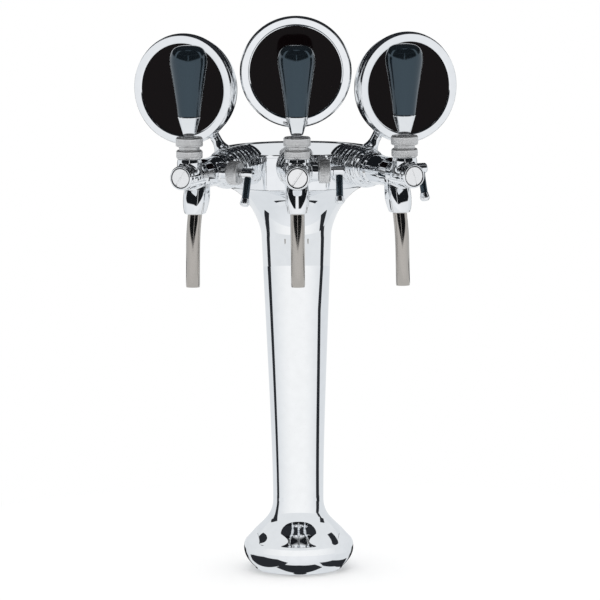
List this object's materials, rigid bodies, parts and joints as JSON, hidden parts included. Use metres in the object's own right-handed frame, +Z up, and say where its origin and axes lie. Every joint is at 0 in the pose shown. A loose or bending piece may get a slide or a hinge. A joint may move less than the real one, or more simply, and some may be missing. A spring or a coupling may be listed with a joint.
{
  "type": "beer tower dispenser",
  "caption": "Chromed beer tower with a trumpet column, compensator taps with tilting handles and bent spouts, and round lit medallions.",
  "frame": {"origin": "centre of the foot, on the bar top it stands on, on the axis of the column", "axes": "+Z up along the column, the taps and medallions face -Y, +X to the right of someone facing them"},
  "size_m": [0.3316, 0.2635, 0.5862],
  "materials": {
    "polished_chrome": "polished",
    "knurled_chrome": "satin",
    "stainless_tube": "satin",
    "steel_parts": "satin",
    "black_handle": "gloss",
    "inner_plastic": "matte",
    "black_glass": "gloss",
    "seal_rubber": "matte",
    "lamp_board": "matte"
  },
  "bodies": {
    "tower": {"column_shell": "polished_chrome", "head_lid": "polished_chrome", "anchor_plate": "steel_parts", "foot_gasket": "seal_rubber", "coolant_line": "inner_plastic", "beer_lines": "inner_plastic", "shank_nuts": "steel_parts", "coupling_rings": "polished_chrome", "front_caps": "polished_chrome", "bonnet_rings": "knurled_chrome", "ball_seats": "inner_plastic", "collar_nuts": "knurled_chrome", "flow_nuts": "knurled_chrome", "led_boards": "lamp_board", "stem_lock_screws": "steel_parts", "plate_screws": "steel_parts", "inlet_seals": "seal_rubber", "cap_seals": "seal_rubber", "shank_left": "steel_parts", "tap_body_left": "polished_chrome", "spout_left": "stainless_tube", "medallion_stem_left": "polished_chrome", "medallion_housing_left": "polished_chrome", "medallion_bezel_left": "polished_chrome", "medallion_face_left": "black_glass", "shank_middle": "steel_parts", "tap_body_middle": "polished_chrome", "spout_middle": "stainless_tube", "medallion_stem_middle": "polished_chrome", "medallion_housing_middle": "polished_chrome", "medallion_bezel_middle": "polished_chrome", "medallion_face_middle": "black_glass", "shank_right": "steel_parts", "tap_body_right": "polished_chrome", "spout_right": "stainless_tube", "medallion_stem_right": "polished_chrome", "medallion_housing_right": "polished_chrome", "medallion_bezel_right": "polished_chrome", "medallion_face_right": "black_glass"},
    "handle_left": {"tap_lever_left": "steel_parts", "ferrule_left": "polished_chrome", "grip_left": "black_handle"},
    "valve_left": {"valve_piston_left": "steel_parts", "piston_seal_left": "seal_rubber"},
    "flow_control_left": {"flow_lever_left": "polished_chrome"},
    "compensator_left": {"compensator_left": "inner_plastic"},
    "handle_middle": {"tap_lever_middle": "steel_parts", "ferrule_middle": "polished_chrome", "grip_middle": "black_handle"},
    "valve_middle": {"valve_piston_middle": "steel_parts", "piston_seal_middle": "seal_rubber"},
    "flow_control_middle": {"flow_lever_middle": "polished_chrome"},
    "compensator_middle": {"compensator_middle": "inner_plastic"},
    "handle_right": {"tap_lever_right": "steel_parts", "ferrule_right": "polished_chrome", "grip_right": "black_handle"},
    "valve_right": {"valve_piston_right": "steel_parts", "piston_seal_right": "seal_rubber"},
    "flow_control_right": {"flow_lever_right": "polished_chrome"},
    "compensator_right": {"compensator_right": "inner_plastic"}
  },
  "joints": [
    {"name": "handle_tilt_left", "type": "hinge", "parent": "tower", "child": "handle_left", "pos_m": [-0.10775, -0.15503, 0.462], "axis": [0.8988, -0.4384, 0], "range_deg": [-8, 20]},
    {"name": "valve_slide_left", "type": "slide", "parent": "tower", "child": "valve_left", "axis": [-0.4384, -0.8988, 0], "range_m": [-0.01022, 0.00415]},
    {"name": "flow_lever_turn_left", "type": "hinge", "parent": "tower", "child": "flow_control_left", "pos_m": [-0.08759, -0.11369, 0.431], "axis": [-0.8988, 0.4384, 0], "range_deg": [0, 90]},
    {"name": "compensator_slide_left", "type": "slide", "parent": "tower", "child": "compensator_left", "axis": [-0.4384, -0.8988, 0], "range_m": [0, 0.0019]},
    {"name": "handle_tilt_middle", "type": "hinge", "parent": "tower", "child": "handle_middle", "pos_m": [0, -0.163, 0.462], "axis": [1, 0, 0], "range_deg": [-8, 20]},
    {"name": "valve_slide_middle", "type": "slide", "parent": "tower", "child": "valve_middle", "axis": [0, -1, 0], "range_m": [-0.01022, 0.00415]},
    {"name": "flow_lever_turn_middle", "type": "hinge", "parent": "tower", "child": "flow_control_middle", "pos_m": [0, -0.117, 0.431], "axis": [-1, 0, 0], "range_deg": [0, 90]},
    {"name": "compensator_slide_middle", "type": "slide", "parent": "tower", "child": "compensator_middle", "axis": [0, -1, 0], "range_m": [0, 0.0019]},
    {"name": "handle_tilt_right", "type": "hinge", "parent": "tower", "child": "handle_right", "pos_m": [0.10775, -0.15503, 0.462], "axis": [0.8988, 0.4384, 0], "range_deg": [-8, 20]},
    {"name": "valve_slide_right", "type": "slide", "parent": "tower", "child": "valve_right", "axis": [0.4384, -0.8988, 0], "range_m": [-0.01022, 0.00415]},
    {"name": "flow_lever_turn_right", "type": "hinge", "parent": "tower", "child": "flow_control_right", "pos_m": [0.08759, -0.11369, 0.431], "axis": [-0.8988, -0.4384, 0], "range_deg": [0, 90]},
    {"name": "compensator_slide_right", "type": "slide", "parent": "tower", "child": "compensator_right", "axis": [0.4384, -0.8988, 0], "range_m": [0, 0.0019]}
  ],
  "couplings": [
    {"joint": "valve_slide_left", "follows": "handle_tilt_left", "m_per_rad": -0.029},
    {"joint": "compensator_slide_left", "follows": "flow_lever_turn_left", "m_per_rad": 0.0011459},
    {"joint": "valve_slide_middle", "follows": "handle_tilt_middle", "m_per_rad": -0.029},
    {"joint": "compensator_slide_middle", "follows": "flow_lever_turn_middle", "m_per_rad": 0.0011459},
    {"joint": "valve_slide_right", "follows": "handle_tilt_right", "m_per_rad": -0.029},
    {"joint": "compensator_slide_right", "follows": "flow_lever_turn_right", "m_per_rad": 0.0011459}
  ]
}
